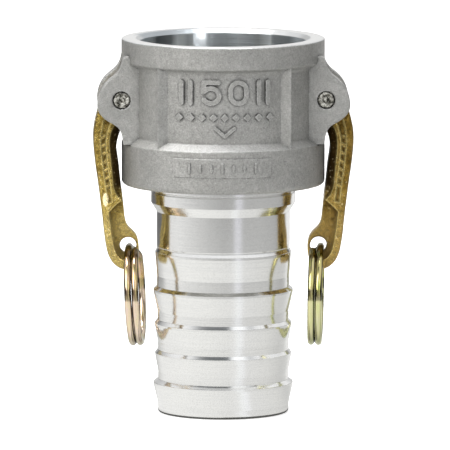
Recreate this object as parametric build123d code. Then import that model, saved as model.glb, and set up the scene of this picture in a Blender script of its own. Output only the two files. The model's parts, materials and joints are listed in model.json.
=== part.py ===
from build123d import *
import math
import os

# Cam and groove ("camlock") hose coupler, 2 inch nominal: a cast cup with two
# cam arms that grip a grooved adapter, on a turned serrated hose shank.
# Frame: millimetres, +Z up, coupler axis on Z, z = 0 at the hose end of the
# shank, mouth of the cup on top. The arms are at -X (left) and +X (right),
# the front is at -Y. Left-hand pieces are modelled and mirrored to the right.

# ---- driving dimensions ----------------------------------------------------
# cup
MOUTH_Z = 143.0          # top face of the cup
CUP_R = 38.6             # outside radius of the top and bottom bands
WAIST_R = 35.6           # outside radius between the bands
BAND_TOP_Z = 134.4       # underside of the top band
WAIST_TOP_Z = 131.6      # top of the waist cylinder
WAIST_BOT_Z = 106.1      # top of the sloping ledge
LEDGE_Z = 103.6          # bottom of the sloping ledge
CUP_BOT_Z = 87.3         # underside of the cup
CUP_BOT_ROUND = 1.9      # rounding of the bottom outside corner
FLOOR_Z = 91.3           # inside floor of the cup
GUIDE_R = 31.75          # guide bore for the adapter
GUIDE_Z = 132.0          # bottom of the guide bore
CAM_ZONE_R = 32.12       # relieved bore in the cam zone
LEAD_IN = 1.5            # chamfer at the mouth
GASKET_GROOVE_R = 33.7
GASKET_GROOVE_TOP = 98.1
FLOOR_HOLE_R = 27.0
# ears and pins
PIN_X, PIN_Z = 38.7, 120.7
EAR_Y_IN, EAR_Y_OUT = 8.0, 15.2
EAR_ROUND_IN, EAR_ROUND_OUT = 0.7, 1.9
PIN_R = 3.175
PIN_HOLE_R = PIN_R - 0.015       # light press in the ears
PIN_CBORE_R, PIN_CBORE_D = 3.5, 0.9
PIN_HALF = EAR_Y_OUT - 0.15      # half length
PIN_CHAMFER = 0.45
DIMPLE_R = 1.55
# window in the wall for the cam, and the slot between the ears
WINDOW_Z0, WINDOW_Z1 = 108.4, 129.6
WINDOW_X, WINDOW_DEPTH, WINDOW_ROUND = 40.0, 26.0, 1.6
SLOT_X, SLOT_X_IN, SLOT_HEIGHT = 50.0, 38.65, 36
# ribs on the waist
RIB_X, RIB_FLANK_X = 25.2, 21.3  # outer side, and where the inner flank meets the waist
RIB_R = CUP_R - 0.1
RIB_TIP = 0.45                   # width of the tip
RIB_OVERRUN = 2.2                # inner flank carried on into the wall
# raised marks on the waist
MARK_R = 36.45
DIGIT_Z, DIGIT_H, DIGIT_STROKE = 120.9, 9.6, 1.7
MARK_Y = (-45.0, -5.0)           # span of the blanks that marks are cut from
# raised plate on the bottom band
PLATE_R = 38.95
PLATE_BAND_Z = (92.0, 102.5)
TICK_HALVES = [1.6, 1.0, 1.0, 1.6, 1.0, 1.0, 1.6]
TICK_X0, TICK_Z, TICK_PITCH = -13.5, 97.3, 4.2
# shank
SHANK_BORE_R = 22.2
SPIGOT_R = FLOOR_HOLE_R + 0.02   # pressed into the cup floor
HUB_R, HUB_BOT_Z = 27.9, 85.1
COLLAR_R, COLLAR_BOT_Z = 27.5, 80.3
COLLAR_STEP = 0.25
NECK_R, NECK_TOP_Z = 25.4, 77.0
# (crest z, crest radius, root radius above the crest), hose end first
CRESTS = [
    (11.6, 26.60, 24.85),
    (22.9, 26.00, 24.95),
    (34.4, 26.10, 25.05),
    (47.2, 26.60, 25.25),
    (61.7, 25.95, 25.25),
]
CREST_LAND = 0.9
CREST_BEVEL = 0.12
SHOULDER = 1.15                  # height from a crest to the root above it
END_LAND_R = 24.9
# gasket
GASKET_OD_R, GASKET_ID_R, GASKET_T = 33.4, 25.4, 6.35
GASKET_CHAMFER = 0.5
GASKET_GAP = 0.02                # clearance over the cup floor
# cam arm
ARM_Y = EAR_Y_IN - 0.25          # half width
ARM_HUB_R = 6.72
ARM_BORE_R = PIN_R + 0.05        # runs on the pin
LOBE_DX, LOBE_DZ, LOBE_R = 4.55, -0.4, 6.95  # centre from the pin, radius
EYE_X, EYE_Z, EYE_R = 36.2, 63.9, 3.15
WEB_Y = 3.3                      # half width of the eye web
BELLY_STEP = 1.7                 # belly set in from each side of the arm
CHANNEL_DEPTH = 0.55
# pull ring
WIRE_R = 1.25
RING_PITCH = 2.78                # distance between the two flat turns
RING_C_R = 18.25                 # wire centre radius
RING_DROP = 0.78                 # wire centre under the eye centre
# coil angles in degrees
JOG_START, JOG_END = 326.0, 355.0  # crossover between the turns
RING_END = 650.0
RING_TOP = 308.0                 # only one turn runs here, through the eye
# shift along X, lean (deg, + swings the bottom to +X), turn (deg, + clockwise from above)
RING_SET_LEFT = (1.75, 2.7, 4.5)
RING_SET_RIGHT = (-0.55, -1.1, 3.1)

# ---- outlines, all points (x, z) on the -X side ----------------------------
# ear: the straight run is buried in the wall, the curve is the free outline
EAR_ROOT = [(-29.0, 103.9), (-29.0, 137.4), (-36.6, 137.4)]
EAR_CURVE = [
    (-36.6, 137.4), (-38.4, 136.0), (-38.95, 133.9), (-39.8, 131.9), (-41.5, 129.9),
    (-43.6, 128.2), (-45.4, 126.3), (-46.75, 124.0), (-47.6, 121.4), (-47.85, 118.9),
    (-47.55, 116.9), (-46.6, 115.2), (-45.1, 113.7), (-43.2, 112.4), (-41.1, 111.2),
    (-39.6, 109.8), (-38.75, 108.0), (-38.3, 105.9), (-38.1, 103.9),
]
# arm: outside from hub to tip, inside from tip back to hub, then across the hub
ARM_OUTSIDE = [
    (-44.3, 124.3), (-46.4, 120.0), (-47.8, 115.3), (-48.9, 110.8), (-49.45, 105.3),
    (-49.2, 100.7), (-48.4, 93.8), (-47.6, 88.3), (-46.9, 82.7), (-46.1, 76.2),
    (-45.4, 69.4), (-44.7, 64.6), (-43.9, 61.2), (-42.6, 58.5), (-40.6, 56.4),
    (-38.0, 55.2), (-35.6, 54.9),
]
ARM_INSIDE = [
    (-35.6, 54.9), (-33.9, 56.3), (-32.7, 58.6), (-32.1, 61.5), (-32.2, 64.5),
    (-32.9, 67.2), (-34.2, 69.1), (-35.9, 70.7), (-37.0, 72.6), (-37.55, 75.5),
    (-37.9, 79.0), (-38.35, 83.0), (-38.9, 87.0), (-39.35, 91.0), (-39.75, 95.0),
    (-40.35, 99.0), (-40.6, 102.2), (-40.1, 105.3), (-39.3, 107.8), (-37.9, 110.4),
    (-35.6, 112.9), (-33.2, 114.6),
]
ARM_HUB_END = [(-33.2, 114.6), (-34.0, 120.0), (-44.3, 124.3)]
# pocket beside the eye web: V shaped step on top, then the inner side of the tip rim
POCKET_STEP = [(-29.0, 58.2), (-29.0, 83.4), (-37.4, 82.6), (-40.6, 80.2), (-43.55, 77.2)]
POCKET_RIM = [
    (-43.55, 77.2), (-42.8, 71.0), (-42.05, 66.2), (-41.3, 62.9), (-40.2, 60.6),
    (-38.6, 59.1), (-36.6, 58.35), (-34.6, 58.2),
]
POCKET_BOTTOM = [(-34.6, 58.2), (-29.0, 58.2)]
# belly along the inside of the bar
BELLY_INNER = [
    (-37.0, 80.0), (-37.9, 87.0), (-38.5, 93.0), (-39.0, 99.0), (-38.9, 105.0),
    (-37.6, 108.6), (-35.0, 110.8),
]
BELLY_TOP = [(-35.0, 110.8), (-38.8, 112.6)]
BELLY_OUTER = [
    (-38.8, 112.6), (-41.6, 109.8), (-43.0, 106.0), (-43.0, 100.0), (-42.2, 92.0),
    (-41.4, 86.2), (-40.2, 83.4),
]
# channel between the outer rim and the belly
CHANNEL_OUTER = [
    (-45.3, 113.0), (-46.2, 108.5), (-46.6, 104.5), (-46.3, 100.0), (-45.5, 93.0),
    (-44.6, 86.5), (-44.0, 80.5),
]
CHANNEL_BOTTOM = [(-44.0, 80.5), (-42.2, 81.2)]
CHANNEL_INNER = [
    (-42.2, 81.2), (-42.9, 87.0), (-43.7, 93.3), (-44.4, 100.0), (-44.5, 104.4),
    (-43.9, 108.0), (-42.3, 112.2),
]


# ---- shared helpers --------------------------------------------------------
def revolved(points):
    """Solid of revolution about Z from (r, z) points; an entry
    (mid r, mid z, end r, end z) adds an arc from the last point."""
    edges = []
    last = (points[0][0], 0, points[0][1])
    for *middle, r, z in [*points[1:], points[0]]:
        end = (r, 0, z)
        if middle:
            edges.append(ThreePointArc(last, (middle[0], 0, middle[1]), end))
        else:
            edges.append(Line(last, end))
        last = end
    return revolve(make_face(Wire(edges)), axis=Axis.Z, revolution_arc=360)


def tube(r0, r1, z0, z1):
    """Plain ring about Z between two radii and two heights."""
    return revolved([(r0, z0), (r1, z0), (r1, z1), (r0, z1)])


def extruded_y(sketch, y0, y1):
    """Extrude a sketch drawn as (x, z) from y0 to y1."""
    return Plane.XZ.offset(-y0) * extrude(sketch, amount=-(y1 - y0))


def cylinder_y(x, z, r, y0, y1):
    return extruded_y(Pos(x, z) * Circle(r), y0, y1)


def outline_face(*runs):
    """Closed face from ("line", points) and ("spline", points) runs joined end
    to end; a straight edge closes it if needed."""
    edges = []
    for kind, points in runs:
        if kind == "spline":
            edges.append(Spline(*points))
        else:
            edges += [Line(a, b) for a, b in zip(points, points[1:])]
    first, last = runs[0][1][0], runs[-1][1][-1]
    if last != first:
        edges.append(Line(last, first))
    return make_face(Wire(edges))


def largest(shape):
    return max(shape.solids(), key=lambda s: s.volume)


def four_copies(piece, first, second):
    """The piece and its mirror images in two planes."""
    pair = [piece, mirror(piece, first)]
    return pair + [mirror(p, second) for p in pair]


def stroke(start, end, width):
    """Rounded stroke between two points."""
    (x0, z0), (x1, z1) = start, end
    angle = math.degrees(math.atan2(z1 - z0, x1 - x0))
    slot = SlotCenterToCenter(math.hypot(x1 - x0, z1 - z0), width)
    return Pos((x0 + x1) / 2, (z0 + z1) / 2) * (Rot(0, 0, angle) * slot)


def stroked_line(points, width):
    pieces = [stroke(a, b, width) for a, b in zip(points, points[1:])]
    return sum(pieces[1:], pieces[0])


# ---- coupler body ----------------------------------------------------------
def make_cup_outside():
    diagonal = math.pi / 4
    bottom_r = CUP_R - CUP_BOT_ROUND
    return revolved([
        (0, CUP_BOT_Z),
        (bottom_r, CUP_BOT_Z),
        (bottom_r + CUP_BOT_ROUND * math.sin(diagonal),
         CUP_BOT_Z + CUP_BOT_ROUND * (1 - math.cos(diagonal)),
         CUP_R, CUP_BOT_Z + CUP_BOT_ROUND),
        # bottom band and sloping ledge
        (CUP_R, LEDGE_Z - 0.35),
        (CUP_R - 0.12, LEDGE_Z, CUP_R - 0.42, LEDGE_Z + 0.3),
        (WAIST_R + 0.1, WAIST_BOT_Z - 0.1),
        (WAIST_R + 0.02, WAIST_BOT_Z + 0.05, WAIST_R, WAIST_BOT_Z + 0.25),
        # waist, hollow sweep out to the top band
        (WAIST_R, WAIST_TOP_Z),
        (WAIST_R + 0.72, WAIST_TOP_Z + 1.72, WAIST_R + 2.3, WAIST_TOP_Z + 2.45),
        (CUP_R - 0.2, BAND_TOP_Z + 0.05, CUP_R, BAND_TOP_Z + 0.75),
        (CUP_R, MOUTH_Z - 0.5),
        (CUP_R - 0.15, MOUTH_Z - 0.15, CUP_R - 0.5, MOUTH_Z),
        (0, MOUTH_Z),
    ])


def soften_ear(solid, y, radius):
    """Fillet the free outline on the ear face at the given y."""
    edges = [e for e in solid.edges()
             if abs(e.center().Y - y) < 0.02 and e.bounding_box().size.Y < 0.02
             and e.bounding_box().min.X < -45]
    for factor in (1, 0.7, 0.4):
        # the kernel may refuse a radius on the spline outline: fall back to a smaller one
        try:
            return solid.fillet(radius * factor, edges)
        except Exception:
            continue
    return solid


def make_ear():
    """Front ear of the -X pair."""
    face = outline_face(("line", EAR_ROOT), ("spline", EAR_CURVE))
    ear = largest(extruded_y(face, -EAR_Y_OUT, -EAR_Y_IN))
    ear = soften_ear(ear, -EAR_Y_OUT, EAR_ROUND_OUT)
    return soften_ear(ear, -EAR_Y_IN, EAR_ROUND_IN)


def make_rib():
    """Front rib at -X: steep outer flank, sloping inner flank."""
    tip_y = -math.sqrt(RIB_R ** 2 - RIB_X ** 2)
    flank_y = -math.sqrt(WAIST_R ** 2 - RIB_FLANK_X ** 2)
    slope = (flank_y - tip_y) / (RIB_X - RIB_TIP - RIB_FLANK_X)
    inner_x = -RIB_FLANK_X + RIB_OVERRUN
    section = Polygon(
        (-RIB_X, tip_y), (-RIB_X + RIB_TIP, tip_y), (inner_x, flank_y + RIB_OVERRUN * slope),
        (inner_x, flank_y + 4), (-RIB_X, tip_y + 7), align=None)
    return Pos(0, 0, LEDGE_Z - 0.6) * extrude(section, amount=BAND_TOP_Z + 0.6 - LEDGE_Z)


def digit_five(x, width):
    """Digit 5 as one stroked line, centred on x."""
    bowl_r = DIGIT_H * 0.3
    bowl_z = DIGIT_Z + bowl_r + DIGIT_STROKE / 2
    top_z = DIGIT_Z + DIGIT_H - DIGIT_STROKE / 2
    bowl = [(x + width * 0.5 * math.cos(math.radians(a)),
             bowl_z + bowl_r * math.sin(math.radians(a))) for a in range(115, -150, -24)]
    flag = [(x + width * 0.45, top_z), (x - width * 0.42, top_z),
            (x - width * 0.48, DIGIT_Z + DIGIT_H * 0.54)]
    return stroked_line(flag + bowl, DIGIT_STROKE)


def digit_zero(x, width):
    """Digit 0 as a ring with straight sides, centred on x."""
    def upright(height, slot_width):
        return Pos(x, DIGIT_Z + DIGIT_H / 2) * (Rot(0, 0, 90) * SlotOverall(height, slot_width))

    return (upright(DIGIT_H, width + DIGIT_STROKE)
            - upright(DIGIT_H - 2 * DIGIT_STROKE, width - DIGIT_STROKE))


def make_waist_marks():
    """Raised marks on the front: "50" between bars, diamonds and a chevron."""
    sketches = [digit_five(-5.2, width=6.2), digit_zero(5.2, width=6.0)]
    bar_z0, bar_z1 = DIGIT_Z + 0.9, DIGIT_Z + DIGIT_H - 0.9
    for side in (-1, 1):
        for x in (13.0, 16.4):
            sketches.append(stroke((side * x, bar_z0), (side * x, bar_z1), DIGIT_STROKE))
    for k in range(-4, 5):
        sketches.append(Pos(k * 4.3, 116.3) * (Rot(0, 0, 45) * Rectangle(2.1, 2.1)))
    sketches.append(stroked_line([(-3.6, 112.3), (0, 109.2), (3.6, 112.3)], 1.2))
    band = tube(WAIST_R - 0.6, MARK_R, 107.0, 131.5)
    return [extruded_y(s, *MARK_Y) & band for s in sketches]


def make_plate():
    """Low plate with plain ticks on the front of the bottom band."""
    block = Pos(-1.0, -30, 97.4) * Box(37.0, 30, 7.0)
    pieces = [block & tube(CUP_R - 0.6, PLATE_R, *PLATE_BAND_Z)]
    tick_band = tube(PLATE_R - 0.2, PLATE_R + 0.35, *PLATE_BAND_Z)
    for k, half in enumerate(TICK_HALVES):
        x = TICK_X0 + TICK_PITCH * k
        tick = stroke((x, TICK_Z - half), (x, TICK_Z + half), 0.9)
        pieces.append(extruded_y(tick, *MARK_Y) & tick_band)
    return pieces


def make_cavity():
    """Inside of the cup above the floor."""
    return revolved([
        (0, FLOOR_Z),
        (GASKET_GROOVE_R, FLOOR_Z),
        (GASKET_GROOVE_R, GASKET_GROOVE_TOP),
        (CAM_ZONE_R, GASKET_GROOVE_TOP + 0.6),
        (CAM_ZONE_R, GUIDE_Z - 0.4),
        (GUIDE_R, GUIDE_Z),
        (GUIDE_R, MOUTH_Z - LEAD_IN),
        (GUIDE_R + LEAD_IN, MOUTH_Z),
        (GUIDE_R + LEAD_IN, MOUTH_Z + 5),
        (0, MOUTH_Z + 5),
    ])


def cut_arm_seat(body, side):
    """Cut the cam window, the slot between the ears and the pin holes on one side."""
    window = (Pos(side * WINDOW_X, 0, (WINDOW_Z0 + WINDOW_Z1) / 2)
              * Box(WINDOW_DEPTH, 2 * EAR_Y_IN, WINDOW_Z1 - WINDOW_Z0))
    window = window.fillet(WINDOW_ROUND, [
        e for e in window.edges()
        if abs(e.center().Y) > EAR_Y_IN - 0.1 and e.bounding_box().size.X > 20])
    body = body - window
    slot = (Pos(side * SLOT_X, 0, (LEDGE_Z + 0.1 + BAND_TOP_Z) / 2)
            * Box(2 * (SLOT_X - SLOT_X_IN), 2 * EAR_Y_IN, SLOT_HEIGHT))
    body = body - slot
    body = body - cylinder_y(side * PIN_X, PIN_Z, PIN_HOLE_R, -20, 20)
    cbore_y = EAR_Y_OUT - PIN_CBORE_D
    for y0, y1 in ((-20, -cbore_y), (cbore_y, 20)):
        body = body - cylinder_y(side * PIN_X, PIN_Z, PIN_CBORE_R, y0, y1)
    return body


def make_body():
    body = make_cup_outside()
    ears = four_copies(make_ear(), Plane.XZ, Plane.YZ)
    ribs = four_copies(make_rib(), Plane.YZ, Plane.XZ)
    for piece in ears + ribs + make_waist_marks():
        body = body + piece
    for piece in make_plate():
        body = body + piece
        body = body + Rot(0, 0, 180) * piece
    body = body - make_cavity()
    body = body - Pos(0, 0, CUP_BOT_Z - 1) * Cylinder(
        FLOOR_HOLE_R, 12, align=(Align.CENTER, Align.CENTER, Align.MIN))
    for side in (-1, 1):
        body = cut_arm_seat(body, side)
    return largest(body)


# ---- hose shank and gasket -------------------------------------------------
def make_shank():
    profile = [
        (SHANK_BORE_R + 1.0, 0),
        (END_LAND_R - 0.9, 0),
        (END_LAND_R - 0.26, 0.26, END_LAND_R, 0.9),
        (END_LAND_R, 3.2),
    ]
    # long ramp up to each crest, short land, shoulder back to the root above it
    for i, (z, crest_r, root_r) in enumerate(CRESTS):
        if i + 1 < len(CRESTS):
            pitch = CRESTS[i + 1][0] - z
            root_top = z + SHOULDER + 0.32 * (pitch - 2.0)
        else:
            root_top = z + 1.6
        profile += [
            (crest_r, z - CREST_LAND),
            (crest_r, z - CREST_BEVEL),
            (crest_r - CREST_BEVEL, z),
            (root_r, z + SHOULDER),
            (root_r, root_top),
        ]
    profile += [
        (NECK_R, CRESTS[-1][0] + 1.9),
        (NECK_R, NECK_TOP_Z),
        (COLLAR_R - 0.2, COLLAR_BOT_Z - 0.2),
        (COLLAR_R, COLLAR_BOT_Z + 0.1),
        (COLLAR_R, HUB_BOT_Z - 0.75),
        (COLLAR_R - COLLAR_STEP, HUB_BOT_Z - 0.5),
        (COLLAR_R - COLLAR_STEP, HUB_BOT_Z - 0.05),
        (HUB_R, HUB_BOT_Z + 0.2),
        (HUB_R, CUP_BOT_Z),
        (SPIGOT_R, CUP_BOT_Z),
        (SPIGOT_R, FLOOR_Z - 0.3),
        (SPIGOT_R - 0.3, FLOOR_Z),
        (SHANK_BORE_R + 1.4, FLOOR_Z),
        (SHANK_BORE_R, FLOOR_Z - 1.4),
        (SHANK_BORE_R, 1.0),
    ]
    return largest(revolved(profile))


def make_gasket():
    z0, z1 = FLOOR_Z + GASKET_GAP, FLOOR_Z + GASKET_T
    inner, outer, c = GASKET_ID_R, GASKET_OD_R, GASKET_CHAMFER
    return largest(revolved([
        (inner + c, z0), (outer - c, z0), (outer, z0 + c), (outer, z1 - c),
        (outer - c, z1), (inner + c, z1), (inner, z1 - c), (inner, z0 + c),
    ]))


# ---- arm pin, left ---------------------------------------------------------
def make_pin():
    pin = largest(cylinder_y(-PIN_X, PIN_Z, PIN_R, -PIN_HALF, PIN_HALF))
    pin = pin.chamfer(PIN_CHAMFER, None, [
        e for e in pin.edges() if abs(abs(e.center().Y) - PIN_HALF) < 0.01])
    # staked dimples on the two end faces
    for y in (-PIN_HALF, PIN_HALF):
        pin = pin - Pos(-PIN_X + 0.15, y * 1.055, PIN_Z + 0.1) * Sphere(DIMPLE_R)
    return largest(pin)


# ---- cam arm, left ---------------------------------------------------------
def both_sides(sketch, y_in, y_out):
    """The sketch extruded between two distances from the XZ plane, on each side."""
    return [extruded_y(sketch, -y_out, -y_in), extruded_y(sketch, y_in, y_out)]


def cut_sides(arm, face, y_in):
    """Cut the face's outline into both sides of the arm, down to y_in."""
    for cutter in both_sides(face, y_in, ARM_Y + 1):
        arm = largest(arm - cutter)
    return arm


def try_fillet(solid, edges, radii):
    """Fillet with the first radius that gives a sound solid."""
    for radius in radii:
        # the kernel may refuse a radius on the spline edges
        try:
            out = largest(solid.fillet(radius, edges))
            if out.is_valid and out.volume > 0.9 * solid.volume:
                return out
        except Exception:
            pass
    return solid


def make_arm():
    bar_face = outline_face(
        ("spline", ARM_OUTSIDE), ("spline", ARM_INSIDE), ("line", ARM_HUB_END))
    pocket = outline_face(
        ("line", POCKET_STEP), ("spline", POCKET_RIM), ("line", POCKET_BOTTOM))
    belly = outline_face(
        ("spline", BELLY_INNER), ("line", BELLY_TOP), ("spline", BELLY_OUTER))
    channel = outline_face(
        ("spline", CHANNEL_OUTER), ("line", CHANNEL_BOTTOM), ("spline", CHANNEL_INNER))

    bar = largest(extruded_y(bar_face, -ARM_Y, ARM_Y))
    bar = cut_sides(bar, pocket, WEB_Y)
    hub = cylinder_y(-PIN_X, PIN_Z, ARM_HUB_R, -ARM_Y, ARM_Y)
    lobe = cylinder_y(-PIN_X + LOBE_DX, PIN_Z + LOBE_DZ, LOBE_R, -ARM_Y, ARM_Y)
    arm = largest(bar + hub + lobe)
    arm = cut_sides(arm, belly, ARM_Y - BELLY_STEP)
    arm = cut_sides(arm, channel, ARM_Y - CHANNEL_DEPTH)
    arm = largest(arm - cylinder_y(-PIN_X, PIN_Z, ARM_BORE_R, -20, 20))
    arm = largest(arm - cylinder_y(-EYE_X, EYE_Z, EYE_R, -20, 20))

    # plain cast ticks on the floor of the channel
    for k in range(7):
        rise = 3.1 * k
        x, z = -43.75 - 0.115 * rise, 87.0 + rise
        tick = stroke((x - 0.45, z), (x + 0.45, z + 0.5), 0.8)
        for piece in both_sides(tick, ARM_Y - 0.9, ARM_Y - 0.1):
            arm = arm + piece
    arm = largest(arm)

    # round the long outer edges, then the rims of the eye
    long_edges = []
    for e in arm.edges():
        box = e.bounding_box()
        if (abs(abs(e.center().Y) - ARM_Y) < 0.02 and box.size.Y < 0.02
                and box.min.X < -47.5 and box.size.Z > 10):
            long_edges.append(e)
    arm = try_fillet(arm, long_edges, (1.5, 1.0, 0.6))
    eye_edges = [e for e in arm.edges() if abs(abs(e.center().Y) - WEB_Y) < 0.02
                 and abs(e.bounding_box().size.X - 2 * EYE_R) < 0.05]
    return largest(try_fillet(arm, eye_edges, (0.8, 0.5)))


# ---- pull rings ------------------------------------------------------------
# Double-coil split ring: two flat turns side by side, joined by one short
# crossover. The coil is built about Z, then hung in the eye.
def ring_point(degrees):
    t = min(max((degrees - JOG_START) / (JOG_END - JOG_START), 0.0), 1.0)
    blend = t * t * (3 - 2 * t)
    a = math.radians(degrees)
    return (RING_C_R * math.cos(a), RING_C_R * math.sin(a), RING_PITCH * (blend - 0.5))


def ring_direction(degrees):
    a = math.radians(degrees)
    return (-math.sin(a), math.cos(a), 0)


def wire_section(degrees):
    plane = Plane(origin=ring_point(degrees), z_dir=ring_direction(degrees))
    return plane * Circle(WIRE_R)


def flat_turn(start, end):
    """Wire of one flat turn between two angles: part of a torus."""
    return largest(revolve(wire_section(start), axis=Axis.Z, revolution_arc=end - start))


def make_coil():
    path = Spline(*[ring_point(JOG_START + (JOG_END - JOG_START) * i / 6) for i in range(7)],
                  tangents=[ring_direction(JOG_START), ring_direction(JOG_END)])
    jog = largest(sweep(wire_section(JOG_START), path=path))
    coil = largest(flat_turn(0, JOG_START) + jog + flat_turn(JOG_END, RING_END))
    # small chamfer on the square ends; they stay sharp if the kernel refuses it
    try:
        coil = largest(coil.chamfer(0.35, None, [
            f.outer_wire().edges()[0] for f in coil.faces() if f.geom_type == GeomType.PLANE]))
    except Exception:
        pass
    return coil


def place_ring(coil, side, setting):
    """Ring hanging in the eye on its single stretch, second turn on the body's side."""
    shift, lean, yaw = setting
    ring = Rot(0, 0, 180 - RING_TOP) * coil
    ring = mirror(Rot(0, 90, 0) * ring, Plane.XZ)
    if side > 0:
        ring = mirror(ring, Plane.YZ)
    ring = Pos(0, 0, -RING_C_R) * ring
    ring = Rot(0, 0, -yaw) * ring
    ring = Rot(0, -lean, 0) * ring
    return largest(Pos(side * EYE_X + shift, 0, EYE_Z - RING_DROP) * ring)


# ---- build and export ------------------------------------------------------
pin_left = make_pin()
arm_left = make_arm()
ring_coil = make_coil()
pieces = {
    "coupler_body": make_body(),
    "hose_shank": make_shank(),
    "face_gasket": make_gasket(),
    "arm_pin_left": pin_left,
    "arm_pin_right": largest(mirror(pin_left, Plane.YZ)),
    "cam_arm_left": arm_left,
    "cam_arm_right": largest(mirror(arm_left, Plane.YZ)),
    "pull_ring_left": place_ring(ring_coil, -1, RING_SET_LEFT),
    "pull_ring_right": place_ring(ring_coil, 1, RING_SET_RIGHT),
}
os.makedirs("parts", exist_ok=True)
for name, piece in pieces.items():
    piece.label = name
    export_step(piece, f"parts/{name}.step")
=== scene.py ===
"""Looks, floor, light and camera for a hose coupling with two cam arms.

The coupling stands upright: the cast cup opens at the top (+Z) and the hose shank
is below it. A brass arm with a plated ring hangs on the left (-X) and one on the
right (+X). The front, where the camera stands, is -Y.
The scene is in metres; places and sizes in the part materials are in millimetres.
"""
import json
import math

import bpy
import bmesh
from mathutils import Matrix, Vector

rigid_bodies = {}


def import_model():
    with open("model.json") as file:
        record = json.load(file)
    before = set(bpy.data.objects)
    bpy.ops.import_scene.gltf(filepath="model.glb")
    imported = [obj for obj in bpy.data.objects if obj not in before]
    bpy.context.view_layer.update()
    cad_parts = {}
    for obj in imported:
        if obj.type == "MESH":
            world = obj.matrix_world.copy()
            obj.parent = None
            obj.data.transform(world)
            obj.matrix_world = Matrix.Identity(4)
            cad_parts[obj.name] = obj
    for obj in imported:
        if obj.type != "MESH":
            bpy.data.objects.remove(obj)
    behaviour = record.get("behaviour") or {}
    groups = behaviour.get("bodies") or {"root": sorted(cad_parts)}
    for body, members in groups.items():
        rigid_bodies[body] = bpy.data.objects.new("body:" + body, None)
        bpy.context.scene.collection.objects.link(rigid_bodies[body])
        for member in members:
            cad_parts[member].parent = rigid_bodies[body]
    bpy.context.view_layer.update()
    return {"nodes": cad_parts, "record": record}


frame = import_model()
nodes = frame["nodes"]
scene = bpy.context.scene

MM_PER_METRE = 1000.0
MIDLINE = (-5.0, 5.0)              # x in mm: looks change from the left to the right part
PLATING_THICKNESS = 0.00009        # metres
FLOOR_RADIUS = 14.0
FLOOR_HEIGHT = -0.0002             # just under the coupling
CAMERA_AIM = Vector((0.00070, 0.0, 0.0713))
CAMERA_DISTANCE = 3.6
CAMERA_ELEVATION = math.radians(7.1)
CAMERA_YAW = math.radians(-1.0)    # negative: from the left of the front


# --------------------------------------------------------------------------
# shader tree helpers
# --------------------------------------------------------------------------


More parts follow.
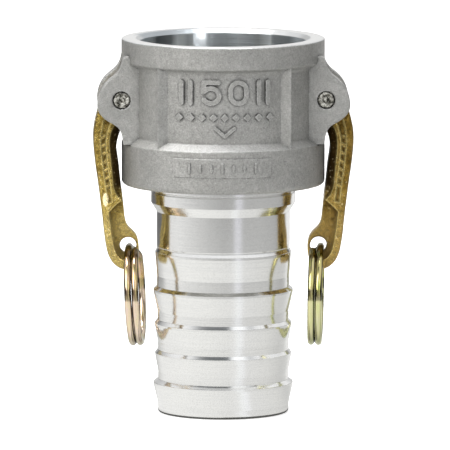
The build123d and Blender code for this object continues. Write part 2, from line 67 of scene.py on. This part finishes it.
class Tree:
    """Builds a shader tree. Lengths given to its methods are in millimetres."""

    def __init__(self, owner):
        owner.use_nodes = True
        self.tree = owner.node_tree
        self.tree.nodes.clear()

    def put(self, socket, value):
        """Link or set an input; None leaves it alone."""
        if value is None:
            return
        if isinstance(value, bpy.types.NodeSocket):
            self.tree.links.new(value, socket)
        elif isinstance(value, tuple) and socket.type == "RGBA":
            socket.default_value = (*value, 1.0)
        else:
            socket.default_value = value

    def node(self, kind, inputs=None, **props):
        node = self.tree.nodes.new("ShaderNode" + kind)
        for name, value in props.items():
            setattr(node, name, value)
        for key, value in (inputs or {}).items():
            self.put(node.inputs[key], value)
        return node

    # numbers

    def math(self, op, a, b=None, clamp=False):
        return self.node("Math", {0: a, 1: b}, operation=op, use_clamp=clamp).outputs[0]

    def times(self, first, *rest):
        return self.math("MULTIPLY", first, self.times(*rest)) if rest else first

    def weighted(self, first, *rest):
        """Sum of (value, weight) pairs."""
        part = self.times(*first)
        return self.math("ADD", part, self.weighted(*rest)) if rest else part

    def swing(self, noise, gain):
        """A noise centred on zero, times gain."""
        return self.times(self.math("SUBTRACT", noise, 0.5), gain)

    def ramp(self, value, over, to=(0.0, 1.0)):
        """Smooth change between the two `to` values as value goes between the two `over`."""
        inputs = {0: value, 1: over[0], 2: over[1], 3: to[0], 4: to[1]}
        return self.node("MapRange", inputs, interpolation_type="SMOOTHSTEP").outputs[0]

    def window(self, value, edges):
        """1 between two soft edges, each given as (where it is 0, where it is 1)."""
        return self.times(*[self.ramp(value, over=edge) for edge in edges])

    def mixf(self, fac, between):
        inputs = {0: fac, 2: between[0], 3: between[1]}
        return self.node("Mix", inputs, data_type="FLOAT").outputs[0]

    # colours

    def mix(self, fac, base, toward, share=None, blend="MIX"):
        """Blend base toward a colour by fac, scaled by share if given."""
        if share is not None:
            fac = self.times(fac, share)
        inputs = {0: fac, 6: base, 7: toward}
        return self.node("Mix", inputs, data_type="RGBA", blend_type=blend).outputs[2]

    def tint(self, fac, base, by, share=None):
        return self.mix(fac, base, by, share, blend="MULTIPLY")

    def colors(self, fac, stops):
        """Colour ramp of (position, colour) stops."""
        node = self.node("ValToRGB", {0: fac})
        elements = node.color_ramp.elements
        while len(elements) < len(stops):
            elements.new(0.5)
        for element, (position, color) in zip(elements, stops):
            element.position = position
            element.color = (*color, 1.0)
        return node.outputs[0]

    # vectors and textures

    def vmath(self, op, a, b=None):
        node = self.node("VectorMath", {0: a, 1: b}, operation=op)
        return node.outputs["Value" if op in ("LENGTH", "DOT_PRODUCT") else 0]

    def coords(self, kind="Object"):
        return self.node("TexCoord").outputs[kind]

    def mm(self):
        inputs = {0: self.coords(), "Scale": MM_PER_METRE}
        return self.node("VectorMath", operation="SCALE", inputs=inputs).outputs[0]

    def split(self, vec):
        return self.node("SeparateXYZ", {0: vec}).outputs

    def join(self, x, y, z):
        return self.node("CombineXYZ", {0: x, 1: y, 2: z}).outputs[0]

    def radius(self, x, y):
        return self.vmath("LENGTH", self.join(x, y, 0.0))

    def noise(self, vec, scale, detail=3.0, rough=0.6, distortion=0.0):
        inputs = {"Vector": vec, "Scale": scale, "Detail": detail,
                  "Roughness": rough, "Distortion": distortion}
        return self.node("TexNoise", inputs, noise_dimensions="3D").outputs[0]

    def line_noise(self, along, scale, detail=3.0, rough=0.6):
        inputs = {"W": along, "Scale": scale, "Detail": detail, "Roughness": rough}
        return self.node("TexNoise", inputs, noise_dimensions="1D").outputs[0]

    def cells(self, vec, scale):
        inputs = {"Vector": vec, "Scale": scale}
        return self.node("TexVoronoi", inputs, feature="F1").outputs[0]

    # surface

    def normal(self):
        return self.node("NewGeometry").outputs["Normal"]

    def round_normal(self, radius, samples=4):
        """Normal that looks as if the edges were rounded."""
        if isinstance(radius, bpy.types.NodeSocket):
            radius = self.times(radius, 0.001)
        else:
            radius = radius / MM_PER_METRE
        return self.node("Bevel", {"Radius": radius}, samples=samples).outputs[0]

    def edge(self, radius, samples=4):
        """0 on flats, towards 1 at edges and corners."""
        rounded = self.round_normal(radius, samples)
        flatness = self.vmath("DOT_PRODUCT", rounded, self.normal())
        return self.math("SUBTRACT", 1.0, flatness, clamp=True)

    def cavity(self, reach):
        """1 in the open, towards 0 in recesses."""
        inputs = {"Distance": reach / MM_PER_METRE}
        node = self.node("AmbientOcclusion", inputs, samples=6, only_local=True)
        return node.outputs["AO"]

    def bump(self, height, strength, depth, normal=None):
        inputs = {"Strength": strength, "Distance": depth / MM_PER_METRE,
                  "Height": height, "Normal": normal}
        return self.node("Bump", inputs).outputs[0]

    def lean(self, fac, normal, toward):
        """Turn the normal toward a fixed direction by fac."""
        bent = self.node("Mix", {0: fac, 4: normal, 5: toward}, data_type="VECTOR")
        return self.vmath("NORMALIZE", bent.outputs[1])

    # shaders

    def principled(self, color, metallic, rough, normal=None):
        inputs = {"Base Color": color, "Metallic": metallic,
                  "Roughness": rough, "Normal": normal}
        return self.node("BsdfPrincipled", inputs).outputs[0]

    def mix_shader(self, fac, first, second):
        return self.node("MixShader", {0: fac, 1: first, 2: second}).outputs[0]

    def out(self, shader, kind="OutputMaterial"):
        self.node(kind, {"Surface": shader})


def make_material(recipe):
    """Material named after its recipe, a function that returns the shader."""
    material = bpy.data.materials.new(recipe.__name__)
    t = Tree(material)
    t.out(recipe(t))
    return material


# --------------------------------------------------------------------------
# part materials
# --------------------------------------------------------------------------


def cast_skin(t, p, x, z, normal, rounded):
    """Grainy grey outside of the body."""
    big = t.noise(p, scale=0.11, rough=0.55)
    mid = t.noise(p, scale=0.75, detail=4.0)
    grain = t.noise(p, scale=1.9, rough=0.7)
    tone = t.weighted((big, 0.25), (mid, 0.30), (grain, 0.45))
    col = t.colors(tone, stops=[
        (0.34, (0.30, 0.297, 0.283)),
        (0.50, (0.425, 0.422, 0.404)),
        (0.66, (0.58, 0.576, 0.555)),
    ])
    # bright and dark specks
    bright = t.ramp(t.noise(p, scale=2.3, detail=1.5), over=(0.66, 0.76))
    col = t.mix(bright, col, toward=(0.86, 0.86, 0.85), share=0.7)
    dark = t.ramp(t.noise(p, scale=1.9, detail=2.0, rough=0.5), over=(0.30, 0.20))
    col = t.mix(dark, col, toward=(0.22, 0.22, 0.21), share=0.5)
    # painted shade in narrow and wide recesses
    narrow = t.ramp(t.cavity(reach=1.3), over=(0.45, 0.97), to=(0.90, 0.0))
    col = t.mix(narrow, col, toward=(0.085, 0.085, 0.08))
    wide = t.ramp(t.cavity(reach=7.0), over=(0.30, 0.80), to=(0.45, 0.0))
    col = t.mix(wide, col, toward=(0.12, 0.12, 0.115))
    # rubbed edges
    worn = t.ramp(t.edge(radius=0.55), over=(0.02, 0.16))
    worn = t.times(worn, t.ramp(mid, over=(0.35, 0.6)))
    col = t.mix(worn, col, toward=(0.80, 0.80, 0.785), share=0.6)
    # painted highlight on the upward-facing sloping ledge above the low band, weaker to the
    # right
    painted_shelf_highlight = t.times(t.ramp(t.split(normal)[2], over=(0.30, 0.62)),
                    t.window(z, edges=((101.5, 103.0), (109.5, 107.5))))
    painted_shelf_highlight = t.times(painted_shelf_highlight, t.ramp(grain, over=(0.30, 0.60), to=(0.55, 1.0)))
    painted_shelf_highlight = t.times(painted_shelf_highlight,
                    t.ramp(x, over=(-6.0, 32.0), to=(0.50, 0.05)),
                    t.ramp(x, over=(-25.5, -21.0), to=(0.15, 1.0)))
    col = t.mix(painted_shelf_highlight, col, toward=(0.90, 0.90, 0.89))
    grain_rough = t.ramp(grain, over=(0.3, 0.7), to=(0.54, 0.42))
    rough = t.mixf(worn, between=(grain_rough, 0.34))
    height = t.weighted((grain, 0.9), (mid, 0.9))
    bumped = t.bump(height, strength=0.85, depth=0.30, normal=rounded)
    bumped = t.bump(t.cells(p, scale=1.15), strength=0.30, depth=0.16, normal=bumped)
    return t.principled(col, metallic=0.82, rough=rough, normal=bumped)


def machined_metal(t, p, x, y, z, radius, normal, rounded):
    """Bore and mouth face, with fine concentric tool marks."""
    rings_on_face = t.line_noise(radius, scale=3.4)
    rings_in_bore = t.line_noise(z, scale=1.5, detail=2.0, rough=0.5)
    flat = t.ramp(t.math("ABSOLUTE", t.split(normal)[2]), over=(0.5, 0.8))
    rings = t.mixf(flat, between=(rings_in_bore, rings_on_face))
    squashed = t.vmath("MULTIPLY", p, (0.5, 0.5, 2.2))
    smear = t.noise(squashed, scale=0.5)
    # broad upright bands round the bore
    angle = t.math("ARCTAN2", y, x)
    around = t.join(t.math("COSINE", angle), t.math("SINE", angle), t.times(z, 0.004))
    bands = t.noise(around, scale=4.5, detail=1.5, rough=0.5)
    col = t.mix(smear, base=(0.86, 0.92, 0.96), toward=(0.93, 0.98, 1.0))
    rough = t.ramp(rings, over=(0.3, 0.7), to=(0.28, 0.36))
    # painted reflection: bright and dark upright bands across the bore: (x, grey)
    half = 33.0
    across = [
        (-33, 0.80), (-27, 0.60), (-25, 0.20), (-19.5, 0.34), (-17, 0.90),
        (-15, 0.80), (-13, 0.55), (-11, 0.80), (-8, 1.0), (-5, 0.85),
        (-3, 0.55), (2, 0.48), (6, 0.62), (10, 0.52), (14, 0.40),
        (18.5, 0.75), (20, 0.45), (25.5, 0.40), (28.5, 0.75), (33, 0.80),
    ]
    shade = t.colors(t.math("ADD", t.math("DIVIDE", x, 2.0 * half), 0.5),
                     stops=[((at + half) / (2.0 * half), (grey,) * 3) for at, grey in across])
    shade = t.mix(flat, shade, toward=(0.86, 0.81, 0.77))
    col = t.tint(1.0, col, by=shade)
    # the back left of the chamfered lip lies in a soft grey shade
    lip = t.times(t.ramp(radius, over=(36.2, 33.4)),
                  t.ramp(x, over=(2.0, -2.5)),
                  t.ramp(y, over=(6.0, 13.0)))
    col = t.mix(t.times(lip, flat, 0.85), col, toward=(0.27, 0.31, 0.34))
    ring_strength = t.mixf(flat, between=(0.8, 0.15))
    bumped = t.bump(rings, strength=ring_strength, depth=0.06, normal=rounded)
    band_strength = t.mixf(flat, between=(0.8, 0.0))
    bumped = t.bump(bands, strength=band_strength, depth=2.0, normal=bumped)
    # an upright streak at the back of the bore, left of centre
    streak_offset = t.math("ADD", x, 8.2)
    streak = t.times(t.ramp(t.math("ABSOLUTE", streak_offset), over=(3.4, 1.4)),
                     t.ramp(y, over=(20.0, 26.0)),
                     t.ramp(z, over=(136.0, 140.5), to=(0.35, 1.0)))
    streak = t.times(streak, t.mixf(flat, between=(0.75, 0.0)))
    bumped = t.lean(streak, bumped, toward=(-0.354, -0.853, 0.382))
    metallic = t.mixf(flat, between=(0.80, 1.0))
    return t.principled(col, metallic=metallic, rough=rough, normal=bumped)


def cast_aluminium(t):
    """Body: cast skin outside, machined bore and mouth face."""
    p = t.mm()
    x, y, z = t.split(p)
    normal = t.normal()
    radius = t.radius(x, y)
    bore = t.times(t.ramp(radius, over=(33.55, 33.95), to=(1.0, 0.0)),
                   t.ramp(z, over=(90.8, 91.1)))
    mouth_face = t.ramp(z, over=(142.55, 142.9))
    is_machined = t.math("MAXIMUM", bore, mouth_face)
    # the ears have rounder edges than the rest
    ear = t.ramp(t.math("ABSOLUTE", x), over=(39.3, 40.5))
    rounded = t.round_normal(t.mixf(ear, between=(0.45, 1.5)), samples=6)
    skin = cast_skin(t, p, x, z, normal, rounded)
    machined = machined_metal(t, p, x, y, z, radius, normal, rounded)
    return t.mix_shader(is_machined, skin, machined)


def turned_aluminium(t):
    """Polished, with turning marks: along z on walls, along the radius on flats."""
    p = t.mm()
    x, y, z = t.split(p)
    upright = t.math("ABSOLUTE", t.split(t.normal())[2])
    radius = t.radius(x, y)
    flat = t.ramp(upright, over=(0.75, 0.9))
    along = t.mixf(flat, between=(z, radius))
    fine = t.line_noise(along, scale=6.5, detail=2.0)
    coarse = t.line_noise(along, scale=1.1)
    # long thin smears round the part
    angle = t.math("ARCTAN2", y, x)
    around, lengthwise = 1.6, 2.4      # smear density in each direction
    wrap = t.join(t.times(t.math("COSINE", angle), around),
                  t.times(t.math("SINE", angle), around),
                  t.times(along, lengthwise))
    smear = t.noise(wrap, scale=1.0, detail=4.0)
    spots = t.noise(p, scale=0.9, detail=4.0, rough=0.65)
    grain = t.noise(p, scale=2.0, rough=0.65)
    col = t.mix(t.ramp(smear, over=(0.35, 0.7)),
                base=(0.905, 0.903, 0.885), toward=(0.865, 0.866, 0.855))
    grain_fac = t.ramp(grain, over=(0.40, 0.66), to=(0.0, 0.40))
    col = t.mix(grain_fac, col, toward=(0.74, 0.74, 0.725))
    spot_fac = t.ramp(spots, over=(0.60, 0.74), to=(0.0, 0.30))
    col = t.mix(spot_fac, col, toward=(0.60, 0.60, 0.58))
    # painted shade in recesses
    recess_shade = t.ramp(t.cavity(reach=3.0), over=(0.3, 0.95), to=(0.5, 0.0))
    col = t.mix(recess_shade, col, toward=(0.30, 0.30, 0.29))
    rough = t.math("ADD",
                   t.ramp(smear, over=(0.3, 0.7), to=(0.10, 0.17)),
                   t.ramp(fine, over=(0.35, 0.65), to=(0.0, 0.05)))
    normal = t.bump(fine, strength=0.34, depth=0.010, normal=t.round_normal(0.22))
    normal = t.bump(coarse, strength=0.12, depth=0.02, normal=normal)
    return t.principled(col, metallic=1.0, rough=rough, normal=normal)


def brass_patina_and_shade(t, x, z, off_mid, mid, fine, painted_inner_shade):
    """How dark the skin of an arm is: darkened with age in its hollows, with painted shade in
    the belly pocket, below the eye and nearest the body; off_mid is the distance from its
    middle plane.
    """
    open_air = t.math("ADD", t.cavity(reach=2.4), t.swing(mid, gain=0.45))
    patina_and_shade = t.ramp(open_air, over=(0.45, 0.98), to=(1.0, 0.0))
    # the belly pocket in each side: dark skin with painted shade
    belly = t.times(t.window(off_mid, edges=((6.95, 6.35), (4.6, 5.4))),
                    t.window(z, edges=((112.5, 107.5), (84.0, 93.0))))
    channel = t.window(off_mid, edges=((7.6, 7.3), (6.95, 7.1)))
    # painted shadow of the recess walls below the eye
    painted_toe_shadow = t.times(t.ramp(off_mid, over=(5.2, 4.2)),
                  t.ramp(z, over=(66.5, 62.5)),
                  t.ramp(t.math("ABSOLUTE", x), over=(36.0, 38.5)))
    channel_share = t.ramp(fine, over=(0.35, 0.6), to=(0.55, 0.10))
    for area_mask, share in ((belly, 0.95), (painted_toe_shadow, 0.85), (channel, channel_share),
                             (painted_inner_shade, 0.97)):
        patina_and_shade = t.math("MAXIMUM", patina_and_shade, t.times(area_mask, share))
    return patina_and_shade


def brass_glint(t, p, x, y, z):
    """A rubbed facet on the outer corner of the left arm, and small rubbed spots; the arm
    gives both a painted highlight.
    """
    ragged = t.swing(t.noise(p, scale=0.9), gain=2.2)
    # ellipse about (x, z) = (-44.75, 82.1), half axes 1.15 and 2.7
    across = t.math("DIVIDE", t.math("ADD", x, 44.75), 1.15)
    up = t.math("DIVIDE", t.math("SUBTRACT", z, 82.1), 2.7)
    ellipse = t.math("ADD", t.math("POWER", across, 2.0), t.math("POWER", up, 2.0))
    blot = t.math("ADD", ellipse, t.times(ragged, 0.55))
    facet = t.times(t.ramp(blot, over=(1.05, 0.75)), t.ramp(y, over=(-6.0, -6.8)))
    spot_noise = t.noise(p, scale=1.25, detail=2.0)
    spots = t.times(t.ramp(spot_noise, over=(0.64, 0.70), to=(0.0, 0.75)),
                    t.ramp(z, over=(104.0, 92.0), to=(0.25, 1.0)))
    return t.times(t.math("MAXIMUM", facet, spots), t.ramp(y, over=(-2.9, -3.2)))


def arm_brass(t):
    p = t.mm()
    x, y, z = t.split(p)
    big = t.noise(p, scale=0.16)
    mid = t.noise(p, scale=0.85, detail=4.0, rough=0.62)
    fine = t.noise(p, scale=3.4)
    tone = t.weighted((big, 0.30), (mid, 0.45), (fine, 0.25))
    col = t.colors(tone, stops=[
        (0.37, (0.11, 0.070, 0.015)),
        (0.46, (0.36, 0.25, 0.055)),
        (0.54, (0.60, 0.44, 0.11)),
        (0.64, (0.94, 0.75, 0.29)),
    ])
    off_mid = t.math("ABSOLUTE", y)
    # painted shade on the part of the arm nearest the body
    painted_inner_shade = t.times(t.ramp(t.math("ABSOLUTE", x), over=(43.0, 40.2)),
                    t.window(z, edges=((82.5, 88.5), (112.5, 108.0))))
    patina_and_shade = brass_patina_and_shade(t, x, z, off_mid, mid, fine, painted_inner_shade)
    # darkening in the hollows, with painted shade in the belly, below the eye and nearest the
    # body
    col = t.mix(patina_and_shade, col, toward=(0.075, 0.045, 0.018), share=0.9)
    # darker high up by the ears, brighter lower down
    high = t.ramp(z, over=(84.0, 100.0), to=(0.0, 0.55))
    col = t.tint(high, col, by=(0.52, 0.48, 0.42))
    low = t.ramp(z, over=(82.0, 70.0), to=(0.0, 0.35))
    col = t.mix(low, col, toward=(0.98, 0.80, 0.34))
    # the right arm is the browner of the two
    col = t.tint(t.ramp(x, over=MIDLINE, to=(0.0, 0.50)), col, by=(0.72, 0.56, 0.42))
    # rubbed edges: wear together with a painted highlight along the beads and rims
    worn = t.times(t.ramp(t.edge(radius=1.1, samples=6), over=(0.012, 0.10)),
                   t.ramp(mid, over=(0.22, 0.46)))
    worn = t.times(worn,
                   t.ramp(off_mid, over=(6.3, 7.1), to=(0.35, 1.0)),
                   t.mixf(painted_inner_shade, between=(1.0, 0.15)))
    col = t.mix(worn, col, toward=(1.0, 0.80, 0.32), share=0.90)
    # painted shade, near black, nearest the body
    col = t.mix(painted_inner_shade, col, toward=(0.022, 0.012, 0.005), share=0.88)
    rough = t.mixf(worn, between=(t.ramp(mid, over=(0.3, 0.7), to=(0.27, 0.15)), 0.12))
    rough = t.mixf(t.times(patina_and_shade, 0.8), between=(rough, 0.55))
    height = t.weighted((mid, 0.7), (fine, 0.80))
    rounded = t.round_normal(1.5, samples=8)
    normal = t.bump(height, strength=0.95, depth=0.50, normal=rounded)
    normal = t.bump(t.cells(p, scale=1.1), strength=0.35, depth=0.16, normal=normal)
    glint = brass_glint(t, p, x, y, z)
    normal = t.lean(t.times(glint, 0.62), normal, toward=(-0.35, -0.85, 0.386))
    rough = t.mixf(glint, between=(rough, 0.20))
    # painted highlight: the facet and spots brightened toward pale gold
    col = t.mix(glint, col, toward=(0.93, 0.80, 0.50), share=0.8)
    return t.principled(col, metallic=1.0, rough=rough, normal=normal)


def pin_steel(t):
    p = t.mm()
    mid = t.noise(p, scale=0.9)
    fine = t.noise(p, scale=3.5)
    col = t.colors(mid, stops=[
        (0.38, (0.035, 0.034, 0.028)),
        (0.50, (0.28, 0.27, 0.23)),
        (0.62, (0.80, 0.79, 0.72)),
    ])
    # painted shade in recesses, such as the ring round the pin end
    recess_shade = t.ramp(t.cavity(reach=1.6), over=(0.2, 0.9), to=(0.85, 0.0))
    col = t.mix(recess_shade, col, toward=(0.03, 0.03, 0.028))
    worn = t.ramp(t.edge(radius=0.3), over=(0.02, 0.15))
    col = t.mix(worn, col, toward=(0.85, 0.84, 0.80), share=0.8)
    normal = t.bump(mid, strength=0.8, depth=0.5, normal=t.round_normal(0.3))
    normal = t.bump(fine, strength=0.4, depth=0.06, normal=normal)
    rough = t.ramp(fine, over=(0.3, 0.7), to=(0.22, 0.42))
    return t.principled(col, metallic=1.0, rough=rough, normal=normal)


def ring_zinc(t):
    """Plated rings with a rainbow film that shifts with the viewing angle."""
    p = t.mm()
    x, _, z = t.split(p)
    facing = t.node("LayerWeight", {"Blend": 0.45}).outputs["Facing"]
    stretched = t.vmath("MULTIPLY", p, (1.0, 0.35, 0.35))
    flow = t.noise(stretched, scale=0.42, detail=2.0, rough=0.5, distortion=0.6)
    film = t.weighted((flow, 0.95), (facing, 0.50))
    repeats = 1.25
    col = t.colors(t.math("FRACT", t.times(film, repeats)), stops=[
        (0.00, (0.74, 0.66, 0.36)),
        (0.20, (0.66, 0.64, 0.28)),
        (0.36, (0.36, 0.50, 0.26)),
        (0.52, (0.80, 0.68, 0.36)),
        (0.68, (0.84, 0.64, 0.44)),
        (0.84, (0.80, 0.60, 0.55)),
        (1.00, (0.74, 0.66, 0.36)),
    ])
    fine = t.noise(p, scale=2.4)
    pale_grain = t.ramp(fine, over=(0.55, 0.8), to=(0.0, 0.25))
    col = t.mix(pale_grain, col, toward=(0.90, 0.86, 0.70))
    # the right ring is greener
    col = t.tint(t.ramp(x, over=MIDLINE), col, by=(0.88, 1.06, 0.80))
    # painted reflection: the lower half paler where it would mirror the floor, the upper half
    # olive gold with dark flanks
    painted_dark_flank = t.ramp(facing, over=(0.22, 0.62))
    upper = t.ramp(z, over=(43.5, 47.5))
    pale_floor_reflection = t.mix(t.ramp(x, over=MIDLINE),
                 base=(0.98, 0.84, 0.66), toward=(0.92, 0.92, 0.52))
    col = t.mix(t.mixf(upper, between=(0.50, 0.0)), col, toward=pale_floor_reflection)
    col = t.tint(upper, col, by=(0.70, 0.62, 0.30), share=0.45)
    flank_share = t.mixf(upper, between=(0.45, 0.85))
    col = t.mix(painted_dark_flank, col, toward=(0.10, 0.085, 0.03), share=flank_share)
    # painted reflection: a dark band at mid height
    smear = t.window(z, edges=((44.3, 45.0), (49.4, 48.4)))
    dark_reflection_share = t.ramp(facing, over=(0.06, 0.34), to=(0.30, 0.97))
    col = t.mix(smear, col, toward=(0.018, 0.02, 0.015), share=dark_reflection_share)
    # painted shade in the crevice between the turns: reddish on the left ring, greenish on the
    # right
    crevice = t.cavity(reach=2.2)
    painted_seam_shade = t.mix(t.ramp(x, over=MIDLINE),
                 base=(0.075, 0.020, 0.012), toward=(0.010, 0.016, 0.004))
    col = t.mix(t.ramp(crevice, over=(0.42, 0.95), to=(0.97, 0.0)), col, toward=painted_seam_shade)
    normal = t.bump(fine, strength=0.12, depth=0.05)
    rough = t.ramp(fine, over=(0.3, 0.7), to=(0.09, 0.17))
    return t.principled(col, metallic=1.0, rough=rough, normal=normal)


def black_rubber(t):
    p = t.mm()
    mid = t.noise(p, scale=0.5)
    fine = t.noise(p, scale=4.0)
    col = t.mix(mid, base=(0.012, 0.012, 0.013), toward=(0.035, 0.035, 0.036))
    dust_noise = t.noise(p, scale=2.2, detail=4.0, rough=0.7)
    dust = t.ramp(dust_noise, over=(0.62, 0.75), to=(0.0, 0.25))
    col = t.mix(dust, col, toward=(0.18, 0.175, 0.165))
    normal = t.bump(fine, strength=0.3, depth=0.06, normal=t.round_normal(0.3))
    rough = t.ramp(mid, over=(0.3, 0.7), to=(0.42, 0.62))
    return t.principled(col, metallic=0.0, rough=rough, normal=normal)


def dress_parts():
    recipes = (cast_aluminium, turned_aluminium, arm_brass, pin_steel, ring_zinc, black_rubber)
    materials = {recipe.__name__: make_material(recipe) for recipe in recipes}
    for part in frame["record"]["subparts"]:
        obj = nodes[part["node"]]
        slot = part["material_slot"]
        obj.data.materials.clear()
        obj.data.materials.append(materials[slot])
        if slot == "ring_zinc":
            # the plating fills the hairline between the two turns
            plating = obj.modifiers.new("plating", "DISPLACE")
            plating.strength = PLATING_THICKNESS
            plating.mid_level = 0.0


# --------------------------------------------------------------------------
# floor, light and camera, in metres
# --------------------------------------------------------------------------

# Room brightness seen in polished metal: (degrees from the front, + to the right; grey)
ROOM = [
    (-180, 0.80), (-168, 0.62), (-154, 0.14), (-130, 0.16), (-114, 0.82), (-84, 0.88),
    (-50, 0.70), (-22, 0.52), (0, 0.43), (15, 0.45), (21, 0.74), (27, 0.72), (33, 0.48),
    (60, 0.50), (98, 0.46), (118, 0.30), (130, 0.46), (139, 0.92), (156, 0.92),
    (166, 0.60), (180, 0.80),
]
BLUISH = {21: 1.07, 27: 1.07}      # gain on blue at these directions

# Bright sheet close to the object: (degrees as above, colour)
SHEET = [
    (-180, (0.80, 0.80, 0.79)), (-150, (0.62, 0.62, 0.61)), (-120, (0.93, 0.93, 0.92)),
    (-60, (0.97, 0.97, 0.955)), (-20, (0.92, 0.92, 0.905)), (8, (0.86, 0.86, 0.85)),
    (15, (0.88, 0.88, 0.875)), (21, (0.98, 0.995, 1.0)), (27, (0.97, 0.98, 1.0)),
    (33, (0.83, 0.83, 0.825)), (70, (0.78, 0.78, 0.765)), (105, (0.66, 0.66, 0.65)),
    (125, (0.70, 0.70, 0.69)), (140, (0.90, 0.90, 0.89)), (180, (0.80, 0.80, 0.79)),
]


def compass_colors(t, azimuth, table):
    turn = t.math("ADD", t.math("DIVIDE", azimuth, 2.0 * math.pi), 0.5)
    return t.colors(turn, [((degrees + 180.0) / 360.0, color) for degrees, color in table])


def surround(t, x, y):
    """Azimuth (0 in front, + to the right) and the room colour there."""
    azimuth = t.math("ARCTAN2", x, t.times(y, -1.0))
    table = [(deg, (grey, grey, grey * BLUISH.get(deg, 1.0))) for deg, grey in ROOM]
    return azimuth, compass_colors(t, azimuth, table)


def floor_paper(t):
    coords = t.coords()
    x, y, _ = t.split(coords)
    distance = t.vmath("LENGTH", coords)
    rays = t.node("LightPath").outputs
    grain = t.noise(coords, scale=900.0, detail=2.0, rough=0.5)
    col = t.mix(grain, base=(0.93, 0.93, 0.925), toward=(0.96, 0.96, 0.955))
    paper = t.principled(col, metallic=0.0, rough=0.9)
    # the paper glows, most of all to the camera
    strength = t.mixf(rays["Is Camera Ray"], between=(0.05, 0.75))
    glow = t.node("Emission", {"Color": (1.0, 1.0, 0.995), "Strength": strength})
    lit_paper = t.node("AddShader", {0: paper, 1: glow.outputs[0]}).outputs[0]
    # polished metal sees a bright sheet close by and the duller room further off,
    # with a painted shadow right under the coupling
    azimuth, room = surround(t, x, y)
    sheet = compass_colors(t, azimuth, SHEET)
    seen = t.mix(t.ramp(distance, over=(0.24, 0.56)), sheet, toward=room)
    seen = t.mix(t.ramp(distance, over=(0.0262, 0.0300)),
                 base=(0.10, 0.10, 0.095), toward=seen)
    mirrored = t.node("Emission", {"Color": seen}).outputs[0]
    return t.mix_shader(rays["Is Glossy Ray"], lit_paper, mirrored)


def add_object(name, data):
    obj = bpy.data.objects.new(name, data)
    scene.collection.objects.link(obj)
    return obj


def point_along(obj, direction):
    obj.rotation_mode = "QUATERNION"
    obj.rotation_quaternion = direction.to_track_quat("-Z", "Y")


def add_floor():
    mesh = bpy.data.meshes.new("floor")
    disc = bmesh.new()
    bmesh.ops.create_circle(disc, cap_ends=True, segments=96, radius=FLOOR_RADIUS)
    disc.to_mesh(mesh)
    disc.free()
    floor = add_object("floor", mesh)
    floor.location.z = FLOOR_HEIGHT
    mesh.materials.append(make_material(floor_paper))


def add_world():
    world = bpy.data.worlds.new("studio")
    scene.world = world
    t = Tree(world)
    x, y, z = t.split(t.coords("Generated"))
    rays = t.node("LightPath").outputs
    azimuth, room = surround(t, x, y)
    glossy = t.mix(t.ramp(z, over=(0.06, 0.72)), room, toward=(0.98, 0.985, 1.0))
    # overhead: dull ceiling with one soft panel to the right
    panel = t.window(x, edges=((0.08, 0.20), (0.52, 0.36)))
    panel = t.times(panel, t.ramp(t.math("ABSOLUTE", y), over=(0.55, 0.35)))
    ceiling = t.mix(panel, base=(0.17, 0.18, 0.19), toward=(1.25, 1.27, 1.30))
    glossy = t.mix(t.ramp(z, over=(0.80, 0.92)), glossy, toward=ceiling)
    # a dark strip of room above the table edge, to the left and right
    strip = t.window(t.math("ABSOLUTE", azimuth), edges=((0.45, 0.85), (2.85, 2.60)))
    strip = t.times(strip, t.ramp(z, over=(0.34, 0.20)))
    glossy = t.mix(strip, glossy, toward=(0.03, 0.032, 0.03), share=0.92)
    # white to the camera, soft light to everything that is not a reflection
    soft = t.ramp(z, over=(0.0, 0.9), to=(0.16, 0.40))
    strength = t.mixf(rays["Is Camera Ray"], between=(soft, 1.0))
    plain = t.node("Background", {"Color": (1.0, 1.0, 1.0), "Strength": strength})
    mirrored = t.node("Background", {"Color": glossy})
    t.out(t.mix_shader(rays["Is Glossy Ray"], plain.outputs[0], mirrored.outputs[0]),
          kind="OutputWorld")


def add_area(name, location, target, size, power, color=(1, 1, 1)):
    light = bpy.data.lights.new(name, "AREA")
    light.shape = "RECTANGLE"
    light.size, light.size_y = size
    light.energy = power
    light.color = color
    obj = add_object(name, light)
    obj.location = location
    point_along(obj, Vector(target) - Vector(location))
    obj.visible_camera = False


def add_lights():
    add_area("key", location=(-0.95, -0.80, 0.85), target=(0, 0, 0.09),
             size=(1.0, 1.0), power=8.5, color=(1.0, 0.99, 0.97))
    add_area("strip", location=(0.62, -1.05, 0.42), target=(0, 0, 0.08),
             size=(0.25, 0.9), power=0.9, color=(0.93, 0.97, 1.0))
    add_area("top", location=(-0.10, 0.10, 1.15), target=(0, 0, 0.1),
             size=(0.8, 0.6), power=14.0)
    # the polished shank is lit by the room alone: no hard-edged reflections on its crests
    lit = bpy.data.collections.new("lit_by_boxes")
    for obj in list(scene.objects):
        if obj.type == "MESH" and obj is not nodes["hose_shank"]:
            lit.objects.link(obj)
    for obj in scene.objects:
        if obj.type == "LIGHT":
            obj.light_linking.receiver_collection = lit


def add_camera():
    lens = bpy.data.cameras.new("camera")
    lens.sensor_width = 36.0
    lens.lens = 757.0
    lens.clip_start = 0.1
    lens.clip_end = 60.0
    camera = add_object("camera", lens)
    level = math.cos(CAMERA_ELEVATION)
    back = Vector((math.sin(CAMERA_YAW) * level, -math.cos(CAMERA_YAW) * level,
                   math.sin(CAMERA_ELEVATION)))
    camera.location = CAMERA_AIM + back * CAMERA_DISTANCE
    point_along(camera, -back)
    scene.camera = camera
    scene.view_settings.view_transform = "Standard"
    scene.view_settings.look = "None"


dress_parts()
add_floor()
add_world()
add_lights()
add_camera()
